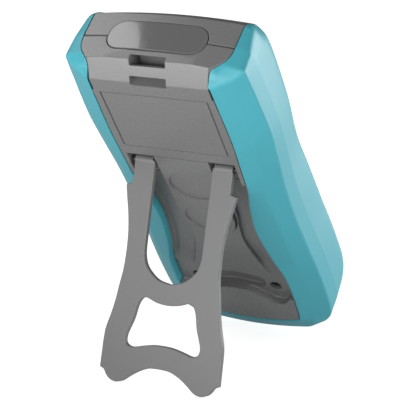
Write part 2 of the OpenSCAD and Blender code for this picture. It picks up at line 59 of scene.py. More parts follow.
foot_y = PIVOT_Y - FOOT_S * math.cos(STAND_OPEN) + FOOT_T * math.sin(STAND_OPEN)
foot_w = -PIVOT_DZ + FOOT_S * math.sin(STAND_OPEN) + FOOT_T * math.cos(STAND_OPEN)
lean = math.atan((foot_y - BOOT_BOTTOM) / (foot_w + SOFT_DZ))
S, C = math.sin(lean), math.cos(lean)
lift = SOFT_DZ * S + BOOT_BOTTOM * C
mid_y = (BEND_Y * S - BEND_DZ * C + BOOT_FRONT * S - DEPTH * C) / 2
STANDING = Matrix.Scale(0.001, 4) @ Matrix((
    (-1, 0, 0, 0), (0, S, C, -DEPTH * C - mid_y), (0, C, -S, DEPTH * S - lift), (0, 0, 0, 1)))
HINGE = Matrix.Translation((0, PIVOT_Y, DEPTH - PIVOT_DZ)) @ Matrix.Rotation(-STAND_OPEN, 4, "X")
print("leans back by", round(math.degrees(lean), 2), "degrees")

# %% [markdown]
# ## Small tools
# These helpers do what a hand does in the viewport: select one object, put a circle's points on an
# outline and extrude it, cut with another solid, round the sharp edges. An outline needs only a few
# points, and a Catmull-Rom curve through them makes it flow.

# %% Helpers for modelling
def alone(piece):
    bpy.ops.object.select_all(action="DESELECT")
    piece.select_set(True)
    bpy.context.view_layer.objects.active = piece


def flow(points, steps=4, closed=False):
    """Points of a smooth curve through the given points, steps per span."""
    p = [Vector(q) for q in points]
    n = len(p)
    out = []
    for i in range(n if closed else n - 1):
        a, b, c, d = ((p[(i + k) % n] if closed else p[min(max(i + k, 0), n - 1)]) for k in (-1, 0, 1, 2))
        ta = max((b - a).length, 1e-6) ** 0.5
        tb = max((c - b).length, 1e-6) ** 0.5
        tc = max((d - c).length, 1e-6) ** 0.5
        m0 = (c - b) if a == b else tb * ((b - a) / ta - (c - a) / (ta + tb) + (c - b) / tb)
        m1 = (c - b) if c == d else tb * ((c - b) / tb - (d - b) / (tb + tc) + (d - c) / tc)
        for k in range(steps):
            t = k / steps
            out.append((2 * t ** 3 - 3 * t ** 2 + 1) * b + (t ** 3 - 2 * t ** 2 + t) * m0
                       + (3 * t ** 2 - 2 * t ** 3) * c + (t ** 3 - t ** 2) * m1)
    return [tuple(q) for q in out] + ([] if closed else [tuple(p[-1])])


def both(half):
    """Closes a right half outline with its mirror image."""
    return list(half) + [(-x, y) for x, y in reversed(half) if x > 0.01]


def drawn(name, points, fill="NGON"):
    """A circle with its points put where they belong, as a face or, with fill NOTHING, as a line."""
    bpy.ops.object.select_all(action="DESELECT")
    bpy.ops.mesh.primitive_circle_add(vertices=len(points), radius=1, fill_type=fill)
    piece = bpy.context.object
    piece.name = name
    for vert, point in zip(piece.data.vertices, points):
        vert.co = point
    return piece


def face_out():
    """In edit mode: turns all faces outwards, and leaves edit mode."""
    bpy.ops.mesh.select_all(action="SELECT")
    bpy.ops.mesh.normals_make_consistent(inside=False)
    bpy.ops.object.mode_set(mode="OBJECT")


def prism(name, outline, lo, hi, axis="z"):
    """An outline drawn across an axis and extruded along it from lo to hi."""
    seat = {"z": lambda a, b: (a, b, lo), "y": lambda a, b: (a, lo, b), "x": lambda a, b: (lo, a, b)}[axis]
    piece = drawn(name, [seat(*point) for point in outline])
    bpy.ops.object.mode_set(mode="EDIT")
    bpy.ops.mesh.select_all(action="SELECT")
    step = {"z": (0, 0, hi - lo), "y": (0, hi - lo, 0), "x": (hi - lo, 0, 0)}[axis]
    bpy.ops.mesh.extrude_region_move(TRANSFORM_OT_translate={"value": step})
    face_out()
    return piece


def box(name, x0, x1, y0, y1, z0, z1):
    return prism(name, [(x0, y0), (x1, y0), (x1, y1), (x0, y1)], z0, z1)


def circle(r, x=0, y=0, points=48, squash=1.0):
    """Points of a circle, or of an oval that is squashed along its second axis."""
    turns = [2 * math.pi * k / points for k in range(points)]
    return [(x + r * math.cos(t), y + squash * r * math.sin(t)) for t in turns]


def disc(name, x, y, r, z0, z1, points=48):
    return prism(name, circle(r, x, y, points), z0, z1)


def rounded(w, l, r, x=0, y=0):
    """A rectangle of half sizes w and l round a middle point, its corners rounded."""
    turns = [math.pi / 2 * k / 8 for k in range(9)]
    corner = [(w - r + r * math.cos(t), l - r + r * math.sin(t)) for t in turns]
    right = [(a, -b) for a, b in reversed(corner)] + corner
    return [(x + a, y + b) for a, b in right] + [(x - a, y + b) for a, b in reversed(right)]


def lathe(name, profile, x=0, y=0, steps=48):
    """A closed profile of radius and height, spun about an upright axis."""
    piece = drawn(name, [(x + r, y, z) for r, z in profile], "NOTHING")
    bpy.ops.object.mode_set(mode="EDIT")
    bpy.ops.mesh.select_all(action="SELECT")
    bpy.ops.mesh.spin(steps=steps, angle=2 * math.pi, center=(x, y, 0), axis=(0, 0, 1))
    bpy.ops.mesh.select_all(action="SELECT")
    bpy.ops.mesh.remove_doubles(threshold=0.001)
    face_out()
    return piece


def copy_to(piece, name, x, y=0):
    """A copy with its own mesh, moved within the meter's frame."""
    alone(piece)
    bpy.ops.object.duplicate()
    twin = bpy.context.object
    twin.name = name
    place_by(twin, Matrix.Translation((x, y, 0)))
    return twin


def carve(piece, tool, how="DIFFERENCE"):
    """Cuts a tool out of a piece, or joins or crosses the two, and removes the tool."""
    cut = piece.modifiers.new("cut", "BOOLEAN")
    cut.operation, cut.object, cut.solver = how, tool, "EXACT"
    alone(piece)
    bpy.ops.object.modifier_apply(modifier=cut.name)
    bpy.data.objects.remove(tool)


def place_by(piece, matrix):
    """Moves a piece and applies the move, so that its place is in its mesh."""
    piece.matrix_world = matrix
    alone(piece)
    bpy.ops.object.transform_apply(location=True, rotation=True, scale=True)


def round_edges(piece, test, width, segments=3):
    """Bevels the edges that the test picks; it sees the two end points and the two face normals."""
    mesh = piece.data
    alone(piece)
    normals = {}
    for face in mesh.polygons:
        for key in face.edge_keys:
            normals.setdefault(key, []).append(face.normal)
    for vert in mesh.vertices:
        vert.select = False
    for face in mesh.polygons:
        face.select = False
    for edge in mesh.edges:
        a, b = (mesh.vertices[k].co for k in edge.vertices)
        sides = normals.get(edge.key, [])
        edge.select = len(sides) == 2 and test(a, b, sides[0], sides[1])
    bpy.ops.object.mode_set(mode="EDIT")
    bpy.ops.mesh.select_mode(type="EDGE")
    bpy.ops.mesh.bevel(offset=width, segments=segments, affect="EDGES", clamp_overlap=True)
    bpy.ops.object.mode_set(mode="OBJECT")


def soften(piece, width, segments=2, angle=40, clamp=True):
    """Rounds every sharp edge a little, and shades the rest smooth."""
    rounding = piece.modifiers.new("soft edges", "BEVEL")
    rounding.width, rounding.segments = width, segments
    rounding.limit_method, rounding.angle_limit = "ANGLE", math.radians(angle)
    rounding.use_clamp_overlap = clamp
    alone(piece)
    bpy.ops.object.modifier_apply(modifier=rounding.name)
    shade(piece, angle)


def shade(piece, angle):
    """Smooth shading up to an angle; large faces stay flat and the rounded edges take the bend."""
    alone(piece)
    bpy.ops.object.shade_smooth_by_angle(angle=math.radians(angle))
    level = piece.modifiers.new("flat faces", "WEIGHTED_NORMAL")
    level.keep_sharp = True
    level.weight = 90
    bpy.ops.object.modifier_apply(modifier=level.name)


def tidy_mesh(piece, near=0.02):
    """Merges points that nearly meet and joins faces that lie in one plane."""
    alone(piece)
    bpy.ops.object.mode_set(mode="EDIT")
    bpy.ops.mesh.select_all(action="SELECT")
    bpy.ops.mesh.remove_doubles(threshold=near)
    bpy.ops.mesh.dissolve_limited(angle_limit=math.radians(0.02))
    bpy.ops.object.mode_set(mode="OBJECT")


def finish_piece(piece, body, finish, slot, *replaced):
    """Leans the piece with the meter, gives it finish and body, and hides the nodes it stands for; its slot
    is not used.
    """
    place_by(piece, STANDING)
    piece.data.materials.clear()
    piece.data.materials.append(finish)
    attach(piece, body)
    if replaced:
        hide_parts(*replaced)
    print(piece.name, len(piece.data.polygons), "faces on body", body)


# %% [markdown]
# ## Camera
# The eye and the point it looks at were solved from the photo's edges. Both are written in the meter's own
# frame, so the camera stays right for the lean. The photo is turned by one degree, which is the roll.

# %% Camera
FOCAL_PX, FRAME_PX, ROLL = 1621.92, 410, 0.96
SENSOR = 36.0
eye = STANDING @ Vector((334.3, 711.7, 464.8))
aim = STANDING @ Vector((-0.3, 100, 39.2))
facing = (aim - eye).to_track_quat("-Z", "Y").to_matrix() @ Matrix.Rotation(math.radians(ROLL), 3, "Z")
bpy.ops.object.select_all(action="DESELECT")
bpy.ops.object.camera_add(location=eye, rotation=facing.to_euler())
camera = bpy.context.object
camera.data.sensor_width = SENSOR
camera.data.lens = SENSOR * FOCAL_PX / FRAME_PX
camera.data.clip_end = 20.0
bpy.context.scene.camera = camera
print("camera at", [round(c, 3) for c in camera.location], "lens", round(camera.data.lens, 1), "mm")

# %% [markdown]
# ## Finishes
# One function turns a written colour to linear light, one adds a node with its settings and links.
# A mould texture is only a few tenths of a millimetre, too fine for a small picture, so it is drawn
# about twice as coarse as it really is.

# %% Helpers for finishes
def colour(code):
    parts = [int(code[k:k + 2], 16) / 255 for k in (1, 3, 5)]
    return [p / 12.92 if p <= 0.04045 else ((p + 0.055) / 1.055) ** 2.4 for p in parts] + [1.0]


def add(tree, kind, settings=None, **sockets):
    """Adds one node: settings are its properties, sockets are values or links by name or by number."""
    node = tree.nodes.new(kind)
    for key, value in (settings or {}).items():
        setattr(node, key, value)
    for key, value in sockets.items():
        numbered = key[0] == "i" and key[1:].isdigit()
        socket = node.inputs[int(key[1:]) if numbered else key.replace("_", " ")]
        if isinstance(value, bpy.types.NodeSocket):
            tree.links.new(value, socket)
        else:
            socket.default_value = value
    return node


def new_finish(name):
    finish = bpy.data.materials.new(name)
    finish.use_nodes = True
    finish.node_tree.nodes.clear()
    return finish, finish.node_tree


PER_MM, DRIFT_MM, GLOSS_SPAN = 1000.0, 40.0, 0.05


def moulded(name, tone, rough=0.5, grain_mm=0.5, grain=0.06, drift=0.05, ior=1.5, metal=0.0):
    """A moulded surface: spark texture of a given grain, a slow drift of tone, uneven gloss."""
    finish, tree = new_finish(name)
    place = add(tree, "ShaderNodeTexCoord").outputs["Object"]
    slow = add(tree, "ShaderNodeTexNoise", Vector=place, Scale=PER_MM / DRIFT_MM, Detail=3.0)
    fine = add(tree, "ShaderNodeTexNoise", Vector=place, Scale=PER_MM / grain_mm, Detail=2.0)
    base = colour(tone)
    dark = [c * (1 - drift) for c in base[:3]] + [1.0]
    light = [min(1.0, c * (1 + drift)) for c in base[:3]] + [1.0]
    tint = add(tree, "ShaderNodeMix", {"data_type": "RGBA"}, i0=slow.outputs["Fac"], i6=dark, i7=light)
    gloss = add(tree, "ShaderNodeMapRange", Value=fine.outputs["Fac"], i1=0.3, i2=0.7,
                i3=rough - GLOSS_SPAN, i4=rough + GLOSS_SPAN)
    bump = add(tree, "ShaderNodeBump", Height=fine.outputs["Fac"], Strength=grain, Distance=grain_mm / PER_MM)
    shader = add(tree, "ShaderNodeBsdfPrincipled", Base_Color=tint.outputs[2], Roughness=gloss.outputs[0],
                 Normal=bump.outputs[0], IOR=ior, Metallic=metal)
    add(tree, "ShaderNodeOutputMaterial", Surface=shader.outputs[0])
    return finish


# %% [markdown]
# ## Which plastics and metals
# The case halves and the stand are moulded ABS, the boot is a soft thermoplastic rubber and the window in
# the top end polished polycarbonate. Each finish is named for its material, and a line above it says what
# that material gives the eye. Two noise patterns are enough for nearly all, so one function makes them.

# %% Finishes that show
# Spark-textured ABS scatters the light: a mid grey with a fine grain and a broad dull gloss.
abs_case = moulded("abs_grey_spark_textured", "#757575", rough=0.3, grain=0.022)
# The stand's mould is rougher, so the same grey shines a little less.
abs_stand = moulded("abs_stand_spark_textured", "#757575", rough=0.36, grain=0.03)
# Thermoplastic rubber has a full colour and a soft wide sheen.
boot_rubber = moulded("tpe_rubber_turquoise", "#48a6b4", rough=0.48, grain_mm=0.6, grain=0.04, drift=0.03)
# Polished polycarbonate mirrors the edge of a lamp.
cap_gloss = moulded("polycarbonate_window_smoked", "#6a6a6a", rough=0.07, grain=0.0, drift=0.02, ior=1.58)
# Black ABS shows its form by its highlights only.
black_abs = moulded("abs_black_moulded", "#2b2d30", rough=0.42)
# Red ABS is the usual sign of a live jack, with the same moulded gloss.
red_abs = moulded("abs_red_moulded", "#b3332d", rough=0.38)
# Silicone keys are dull and dusty.
key_rubber = moulded("silicone_key_grey", "#4a4f55", rough=0.55)
# Black phosphated steel is nearly black, with a small oily glint.
black_steel = moulded("steel_black_phosphate", "#1d1e20", rough=0.34, grain=0.03, drift=0.1)
# Gilt brass gleams warm deep in the jacks.
gilt_brass = moulded("brass_gilt", "#c9a24c", rough=0.25, grain=0.02, metal=1.0)
# Epoxy ink is a flat opaque film.
white_ink = moulded("epoxy_ink_white", "#d9dad8", rough=0.6, grain=0.05)
# Seen through the clear pane, the black ink takes its gloss.
black_ink = moulded("epoxy_ink_black", "#1f2123", rough=0.35, grain=0.02)
# A driven segment of liquid crystal is nearly black.
lcd_segment = moulded("liquid_crystal_dark", "#23282a", rough=0.3, grain=0.02)
# The polariser behind it is a greenish satin grey.
lcd_film = moulded("lcd_polariser_film", "#a3ab9b", rough=0.3, grain=0.0)
print("finishes that show:", len(bpy.data.materials))

# %% Finishes inside the case
# Zinc plating is a bright metal with small cloudy changes.
zinc_steel = moulded("steel_zinc_plated", "#a9abac", rough=0.32, grain=0.03, metal=1.0, drift=0.1)
# Nickel is a shade warmer and smoother than zinc.
nickel_spring = moulded("spring_steel_nickel_plated", "#b7b3a9", rough=0.28, grain=0.02, metal=1.0)
# Rolled manganin looks like dull copper.
manganin = moulded("manganin_rolled_strip", "#a98457", rough=0.35, grain=0.03, metal=1.0)
# A battery's steel jacket is lacquered dark and even.
jacket_steel = moulded("steel_jacket_lacquered", "#26292d", rough=0.3, grain=0.02)
# Solder mask on glass epoxy is a deep green with a wet gloss.
board_green = moulded("glass_epoxy_board", "#2c6a45", rough=0.35)
# Unfilled nylon is milky white and satin.
white_nylon = moulded("nylon_white", "#dedbd3", rough=0.45)
# Fuse ceramic is cream and faintly glazed.
ceramic = moulded("ceramic_fuse", "#e4dfd0", rough=0.4)
# Acrylic for the backlight is smooth and nearly white.
light_guide = moulded("acrylic_light_guide", "#e3e6e6", rough=0.2, grain=0.01, ior=1.49)
# Dipped epoxy is a glossy blue drop.
dipped_epoxy = moulded("epoxy_dip_blue", "#2f5d9c", rough=0.25, grain=0.03)
# Resistor lacquer is tan and half matt.
resistor_coat = moulded("resistor_lacquer_tan", "#b79a72", rough=0.4)
# Chips are moulded in a dry black epoxy.
chip_epoxy = moulded("epoxy_moulding_black", "#222325", rough=0.6)

# %% Clear pane
# Clear polycarbonate: almost invisible, with a faint haze where it was wiped.
WIPE_MM = 3.0
pane, tree = new_finish("polycarbonate_pane_clear")
place = add(tree, "ShaderNodeTexCoord").outputs["Object"]
wipe = add(tree, "ShaderNodeTexNoise", Vector=place, Scale=PER_MM / WIPE_MM, Detail=4.0)
haze = add(tree, "ShaderNodeMapRange", Value=wipe.outputs["Fac"], i1=0.4, i2=0.8, i3=0.02, i4=0.12)
shader = add(tree, "ShaderNodeBsdfPrincipled", Base_Color=colour("#eef1f0"), Roughness=haze.outputs[0],
             IOR=1.58, Transmission_Weight=1.0)
add(tree, "ShaderNodeOutputMaterial", Surface=shader.outputs[0])
print("finishes:", len(bpy.data.materials))

# %% Finishes of the CAD nodes
NODE_FINISH = (
    (abs_case, "front_case back_case battery_cover"), (abs_stand, "tilt_stand"), (boot_rubber, "bumper_boot"),
    (cap_gloss, "sensor_cap"), (black_steel, "case_screws battery_cover_screw hinge_pins"),
    (jacket_steel, "battery"), (nickel_spring, "battery_contacts"), (pane, "display_lens"),
    (white_nylon, "lcd_frame selector_rotor"), (lcd_film, "lcd_glass"), (light_guide, "backlight"),
    (key_rubber, "zebra_strips keypad_mat key_1 key_2 key_3 key_4"), (board_green, "main_board"),
    (zinc_steel, "board_screws fuse_clips"), (black_abs, "selector_knob jack_shroud_common buzzer"),
    (red_abs, "jack_shrouds"), (gilt_brass, "selector_wipers jack_sleeves"), (manganin, "current_shunt"),
    (ceramic, "fuse_large fuse_small"), (dipped_epoxy, "surge_discs"), (resistor_coat, "input_resistors"),
    (chip_epoxy, "measuring_chips"))
dressed = 0
for finish, names in NODE_FINISH:
    for name in names.split():
        nodes[name].data.materials.clear()
        nodes[name].data.materials.append(finish)
        dressed += 1
print("CAD nodes with a finish:", dressed)

# %% [markdown]
# ## The rubber boot
# The real boot is one soft moulding pulled over the case: a lip on the back, two slanting bands, a tall
# side and a rounded front edge, in at the waist and out at the ends. Seen along its depth it is a stack
# of closed outlines, so one ring is drawn, extruded outline by outline, closed at both ends, and the
# creases between the bands are bevelled. Then the room for the case is cut out of it.

# %% Outlines of the boot
YS = (12, 31, 52, 62, 72, 92, 112, 122, 141, 159, 185)
EDGE_W = (31.9, 33.4, 32.6, 30.3, 28.4, 26.4, 28.6, 30.6, 31.7, 32.4, 31.8)
SOFT_W = (39, 39.8, 39.9, 39.8, 39.6, 38.8, 38.4, 38.6, 40, 41, 38.6)
WIDE_W = (47, 47.8, 47.4, 46.8, 46.2, 45.4, 45.7, 46.2, 47.7, 48.6, 47.3)
FRONT_W = (45.4, 46, 45.4, 44.8, 44.5, 43.8, 42.9, 43.2, 44.8, 45.3, 44.8)


def ring(bottom, widths, grow, top):
    """A closed smooth outline: bottom, one half width for each height in YS, top."""
    half = list(bottom) + [(w + grow, y) for w, y in zip(widths, YS)] + list(top)
    return flow(both(half), closed=True)


LIP = [(0, 6.2), (10, 6.6), (20, 8), (27, 9.6), (31, 11)]
SOFT_LOW = [(0, BOOT_BOTTOM), (16, -3.4), (28, -1.2), (34.4, 0.6), (38.2, 4.6)]
WIDE_LOW = [(0, -5.6), (18, -5.3), (33, -4.3), (40, -1.6), (45.2, 4.8)]
HORN_DZ, WIDE_DZ, SIDE_DZ = 6.1, 9.5, 20.5
share = (HORN_DZ - SOFT_DZ) / (WIDE_DZ - SOFT_DZ)
HORN_LOW = [tuple(Vector(a).lerp(Vector(b), share)) for a, b in zip(SOFT_LOW, WIDE_LOW)]
HORN_W = [a + share * (b - a) for a, b in zip(SOFT_W, WIDE_W)]
BOOT_RINGS = [
    (DEPTH - 5, ring([(x, y + 0.4) for x, y in LIP], EDGE_W, 0.05,
                     [(31.6, 193), (31.4, 196.6), (30.6, 198), (20, 198.4), (0, 198.6)])),
    (DEPTH, ring([(x, y + 0.3) for x, y in LIP], EDGE_W, 0.1,
                 [(31.7, 193), (31.5, 196.6), (30.7, 198), (20, 198.4), (0, 198.6)])),
    (DEPTH, ring([(x, y - 0.5) for x, y in LIP], EDGE_W, 0.9,
                 [(32.5, 193), (32.3, 196.8), (31.2, 198.4), (20, 198.8), (0, 199)])),
    (DEPTH - SOFT_DZ, ring(SOFT_LOW, SOFT_W, 0,
                           [(38.6, 193.5), (38.4, 197.6), (35.2, 199.6), (31.4, 201.4), (0, 202.6)])),
    (DEPTH - HORN_DZ, ring(HORN_LOW, HORN_W, 0,
                           [(42.6, 194.5), (42, 199.2), (37.2, 201.8), (31.6, 204.3), (0, 205)])),
    (DEPTH - WIDE_DZ, ring(WIDE_LOW, WIDE_W, 0,
                           [(46.6, 195.5), (45.7, 200.7), (40, 203), (33, 204.7), (0, 206)])),
    (DEPTH - SIDE_DZ, ring([(0, -5.5), (18, -5.2), (32.8, -4.3), (39.8, -1.6), (45, 4.8)], WIDE_W, 0.15,
                           [(46.6, 195.6), (45.2, 201.4), (40.4, 204), (33, 205.4), (0, 207)])),
    (10, ring([(0, -5), (17, -4.7), (32, -3.6), (39, -1), (44.2, 5)], FRONT_W, 0.5,
              [(44.6, 196), (42.8, 202.4), (39.2, 204.6), (32, 205.6), (0, 207)])),
    (5, ring([(0, -4), (16.5, -3.6), (31, -2.4), (37.8, 0.2), (42.8, 5.6)], FRONT_W, -0.3,
             [(43.2, 192.5), (40.4, 199), (36.4, 200.8), (28, 201.4), (0, 202.4)])),
    (0, ring([(0, BOOT_FRONT), (16, -0.8), (30, 0.6), (36.2, 3), (40.6, 7.6)], FRONT_W, -2.6,
             [(41.2, 189.5), (38, 194.2), (34.4, 195.6), (26, 196.2), (0, 197.4)])),
    (0, ring([(0, 1.4), (14, 2), (27.5, 3.6), (35.2, 7.4), (38.6, 10)], FRONT_W, -4.6,
             [(39.6, 188), (37, 190.8), (33.2, 192.2), (26, 193), (0, 194)])),
    (2, ring([(0, 1.5), (14, 2.1), (27.5, 3.7), (35.1, 7.5), (38.5, 10.1)], FRONT_W, -4.7,
             [(39.5, 188), (36.9, 190.8), (33.1, 192.2), (26, 193), (0, 194)])),
]
print("boot:", len(BOOT_RINGS), "outlines of", len(BOOT_RINGS[0][1]), "points")

# %% Extrude the boot outline by outline
def stack(name, rings):
    """One outline drawn and extruded from height to height, each time moved to the next outline."""
    start, outline = rings[0]
    piece = drawn(name, [(*point, start) for point in outline])
    for (z0, last), (z1, outline) in zip(rings, rings[1:]):
        at = {(round(x, 3), round(y, 3)): k for k, (x, y) in enumerate(last)}
        bpy.ops.object.mode_set(mode="EDIT")
        bpy.ops.mesh.extrude_region_move(TRANSFORM_OT_translate={"value": (0, 0, z1 - z0)})
        bpy.ops.object.mode_set(mode="OBJECT")
        for vert in piece.data.vertices:
            if vert.select:
                vert.co = (*outline[at[round(vert.co.x, 3), round(vert.co.y, 3)]], z1)
    bpy.ops.object.mode_set(mode="EDIT")
    face_out()
    return piece


boot = stack("boot", BOOT_RINGS)


def on_level(z, least=-1):
    """A test for edges at a height, all of them or those that bend by more than so many degrees."""
    def test(a, b, n, m):
        level = abs(a.z - z) < 0.01 and abs(b.z - z) < 0.01
        return level and n.angle(m, 0) > math.radians(least)
    return test


for level, width, least in ((DEPTH - SIDE_DZ, 0.6, 3), (DEPTH - WIDE_DZ, 0.8, 12), (DEPTH - SOFT_DZ, 1.0, 8),
                            (10, 2.0, 8), (5, 1.5, 8), (DEPTH, 0.35, 12), (0, 0.9, 12)):
    round_edges(boot, on_level(level, least), width)
print("boot skin:", len(boot.data.polygons), "faces")

# %% [markdown]
# ## The room for the case
# The case sits in the boot like a drawer: full width up to the shoulder under the lip, and at the
# top end it comes out between two rubber horns. The same outlines cut the boot and make the case.

# %% Outlines of the case
END_W, NECK_W = 39.2, 31.12


def case_outline(inset, top):
    """The case below the boot's lip, drawn in all round."""
    bottom = [(0, 2 + inset), (14, 2.6 + inset), (27.5, 4.2 + inset), (35.6 - 0.7 * inset, 8 + 0.7 * inset)]
    side = [(w - 4.8 - inset, y) for w, y in zip(FRONT_W, YS)]
    return both(flow(bottom + side) + [(39 - inset, top), (0, top)])


def back_outline(grow, top):
    """The back face inside the boot's lip, grown all round."""
    bottom = [(x, y + 0.4 - grow) for x, y in LIP]
    side = [(w + grow, y) for w, y in zip(EDGE_W, YS)]
    return both(flow(bottom + side) + [(31.2 + grow, 191), (31.2 + grow, top), (0, top)])


def horn_profile(inset, low, high):
    """The room between the horns, seen along the body."""
    curve = flow([(END_W, DEPTH - 20), (38.6, DEPTH - 15), (36.6, DEPTH - 10.6), (33.4, DEPTH - 7),
                  (31.7, DEPTH - 5), (NECK_W, DEPTH - 3)])
    side = [(x - inset, z) for x, z in [(END_W, low)] + curve + [(NECK_W, high)]]
    return both([(0, low)] + side + [(0, high)])


room = prism("room", case_outline(0, 190), -5, DEPTH - 9)
carve(room, prism("shoulder", back_outline(3, 190), DEPTH - 10, DEPTH - 4.9), "UNION")
carve(room, prism("between_horns", horn_profile(0, -5, DEPTH + 6), 187, 220, "y"), "UNION")
carve(boot, room)
tidy_mesh(boot, 0.01)
shade(boot, 32)
finish_piece(boot, "meter", boot_rubber, "boot", "bumper_boot")

# %% [markdown]
# ## The case block
# Both case halves come from one block, as on the real meter, where they close flush: the room in the boot
# less a hair of air, with the top end bowed across, bent towards the back and cut slanting to the front.
# A bisect at the parting line then gives the two halves.

# %% Case block
PARTING, Y_TOP, CROWN, CROWN_W, END_Z = DEPTH - 19.6, 204.3, 2.7, 39.4, 10.0
SEAM, END_Y = 0.36, Y_TOP + CROWN + 1


def under_crown(scale, edge, top):
    """Everything below the bowed line of the top end."""
    line = [(CROWN_W * t, CROWN * scale * (1 - t * t)) for t in [1.1 - 0.1 * k for k in range(12)]]
    return [(x, y + top) for x, y in both([(0, -400), (60, -400), (60, edge)] + line)]


block = prism("case_block", case_outline(0.1, 190), 0, DEPTH - 9.1)
carve(block, prism("shoulder", back_outline(2.9, 189), DEPTH - 10, DEPTH - 5.1), "UNION")
carve(block, prism("back_face", back_outline(-0.2, 189), DEPTH - 8, DEPTH), "UNION")
carve(block, prism("top", horn_profile(0.4, 0, DEPTH), 186.5, 212, "y"), "UNION")
carve(block, prism("bowed", under_crown(1, -0.6, Y_TOP), -10, DEPTH + 10), "INTERSECT")
slant = prism("slant", under_crown(math.cos(math.pi / 4), -0.45, 0), -300, 300)
place_by(slant, Matrix.Translation((0, Y_TOP, END_Z)) @ Matrix.Rotation(-math.pi / 4, 4, "X"))
carve(block, slant, "INTERSECT")
bend = [(-20, -10), (END_Y, -10), (END_Y, PARTING), (BEND_Y, DEPTH - BEND_DZ), (FACET_Y, DEPTH),
        (FACET_Y, DEPTH + 5), (-20, DEPTH + 5)]
carve(block, prism("bend", bend, -70, 70, "x"), "INTERSECT")
tidy_mesh(block)


def half_of(name, level, keep_back):
    """A copy of the block, bisected at a level, with the side in front of or behind it removed."""
    half = copy_to(block, name, 0)
    bpy.ops.object.mode_set(mode="EDIT")
    bpy.ops.mesh.select_all(action="SELECT")
    bpy.ops.mesh.bisect(plane_co=(0, 0, level), plane_no=(0, 0, 1), use_fill=True,
                        clear_inner=keep_back, clear_outer=not keep_back)
    bpy.ops.object.mode_set(mode="OBJECT")
    return half


rear = half_of("rear_shell", PARTING + SEAM, True)
front = half_of("front_shell", PARTING - SEAM, False)
bpy.data.objects.remove(block)
print("case halves:", len(rear.data.polygons), "and", len(front.data.polygons), "faces")

# %% [markdown]
# ## Inside the rear half
# A moulding keeps to thin walls, so the real half is hollow, with a post under each screw and a box for the
# battery. A solid block would look the same from outside, but so thick a moulding sinks as it cools. The
# case's own outline, drawn in by the wall, cuts the hollow, and posts and box are joined to what is left.

# %% Hollow the rear half
WALL, CAVITY_TOP, CAVITY_DZ, PLATE_DZ, POST_R = 2.2, 192.0, 11.2, 2.4, 4.6
COVER_W, COVER_Y0, COVER_Y1, COVER_DZ, COVER_SCREW_Y = 14.6, 77.4, 141.5, 5.5, 81.5
SCREWS = [(22.7, 35.2), (-22.7, 35.2), (9.4, 138.4), (-9.4, 138.4)]
WELL_W, WELL_Y0, WELL_Y1, WELL_DZ, WELL_T = 14.0, 84.5, 133.4, 22.7, 1.5
carve(rear, prism("cavity", case_outline(WALL, CAVITY_TOP), PARTING - 1, DEPTH - CAVITY_DZ))
carve(rear, box("label_room", -28.6, 28.6, 146, 189, PARTING - 1, DEPTH - PLATE_DZ))
carve(rear, box("foot_room", -26, 26, 12, 21, PARTING - 1, DEPTH - PLATE_DZ))
for x, y in SCREWS:
    carve(rear, disc("post", x, y, POST_R, PARTING + SEAM, DEPTH - CAVITY_DZ + 1), "UNION")
carve(rear, disc("cover_post", 0, COVER_SCREW_Y, 3.2, DEPTH - 18, DEPTH - CAVITY_DZ + 1), "UNION")
carve(rear, box("well_wall", -WELL_W - WELL_T, WELL_W + WELL_T, WELL_Y0 - WELL_T, WELL_Y1 + WELL_T,
                DEPTH - WELL_DZ - 1.2, DEPTH - CAVITY_DZ + 1), "UNION")
print("hollow rear half:", len(rear.data.polygons), "faces")

# %% [markdown]
# ## Features of the back
# Each hollow of the back is a prism with a smooth outline. Where the real floor meets its wall in a
# small fillet, the lower edge of the prism is bevelled before it cuts, so the fillet comes with the cut.
# The middle of the stand's seat is an island between two channels that ramp up at the foot, and a trough
# runs along the ledge. A channel changes its width and depth as it goes, so its cross-section is extruded
# from height to height like the boot.

# %% Seat of the stand
ARM_IN, ARM_OUT, CHEEK_X, BAR_Y = 15.5, 26.4, 28.8, 142.3
SEAT_DZ, FLOOR_DZ, POCKET_DZ = 4.3, 7.0, 7.5
ARCH = [(0, 34.66), (5.5, 34.26), (11, 32.06), (16, 28.76), (19.2, 26.26), (21.8, 25.26), (24, 25.16),
        (26.6, 26.1), (28.6, 27.9), (30.2, 30.3), (32.4, 31.2)]


def cover_outline(grow):
    """The battery cover seen from behind, round at its lower end, grown all round."""
    r = COVER_W + grow
    turns = [math.pi * k / 24 for k in range(25)]
    arc = [(-r * math.cos(t), COVER_Y0 + COVER_W - r * math.sin(t)) for t in turns]
    return arc + [(r, COVER_Y1 + grow), (-r, COVER_Y1 + grow)]


def hollow(outline, dz, fillet=0.8):
    """Cuts a hollow into the back, with a fillet where its floor meets its wall."""
    tool = prism("hollow", outline, DEPTH - dz, DEPTH + 4)
    round_edges(tool, on_level(DEPTH - dz), fillet)
    carve(rear, tool)


seat = flow([(x, y - 0.6) for x, y in ARCH])
seat += [(40, 30.8), (40, 127), (CHEEK_X, 127), (CHEEK_X, BAR_Y), (0, BAR_Y)]
hollow(both(seat), SEAT_DZ)

# %% Channels, trough and hinge pockets
ISLAND_EDGE = [(16.4, 124), (16.4, 104), (16.3, 95), (15.2, 87), (14.4, 80), (14.3, 74), (15.1, 67.5),
               (16.9, 60.7), (18.9, 54.1), (20.4, 48.5), (20.7, 44.5), (20.2, 42)]
RAMP_Y0, RAMP_Y1, CHANNEL_TOP, FOOT_R = 44.5, 55.0, 124.0, 2.2
# A channel reaches a hair past the wall of the case, so that no thin skin is left standing there.
outer_edge = [(w + 0.05, y) for w, y in zip(EDGE_W, YS) if RAMP_Y0 < y < CHANNEL_TOP]
outer_edge = [(28.6, CHANNEL_TOP)] + outer_edge[::-1] + [(33.2, 42)]


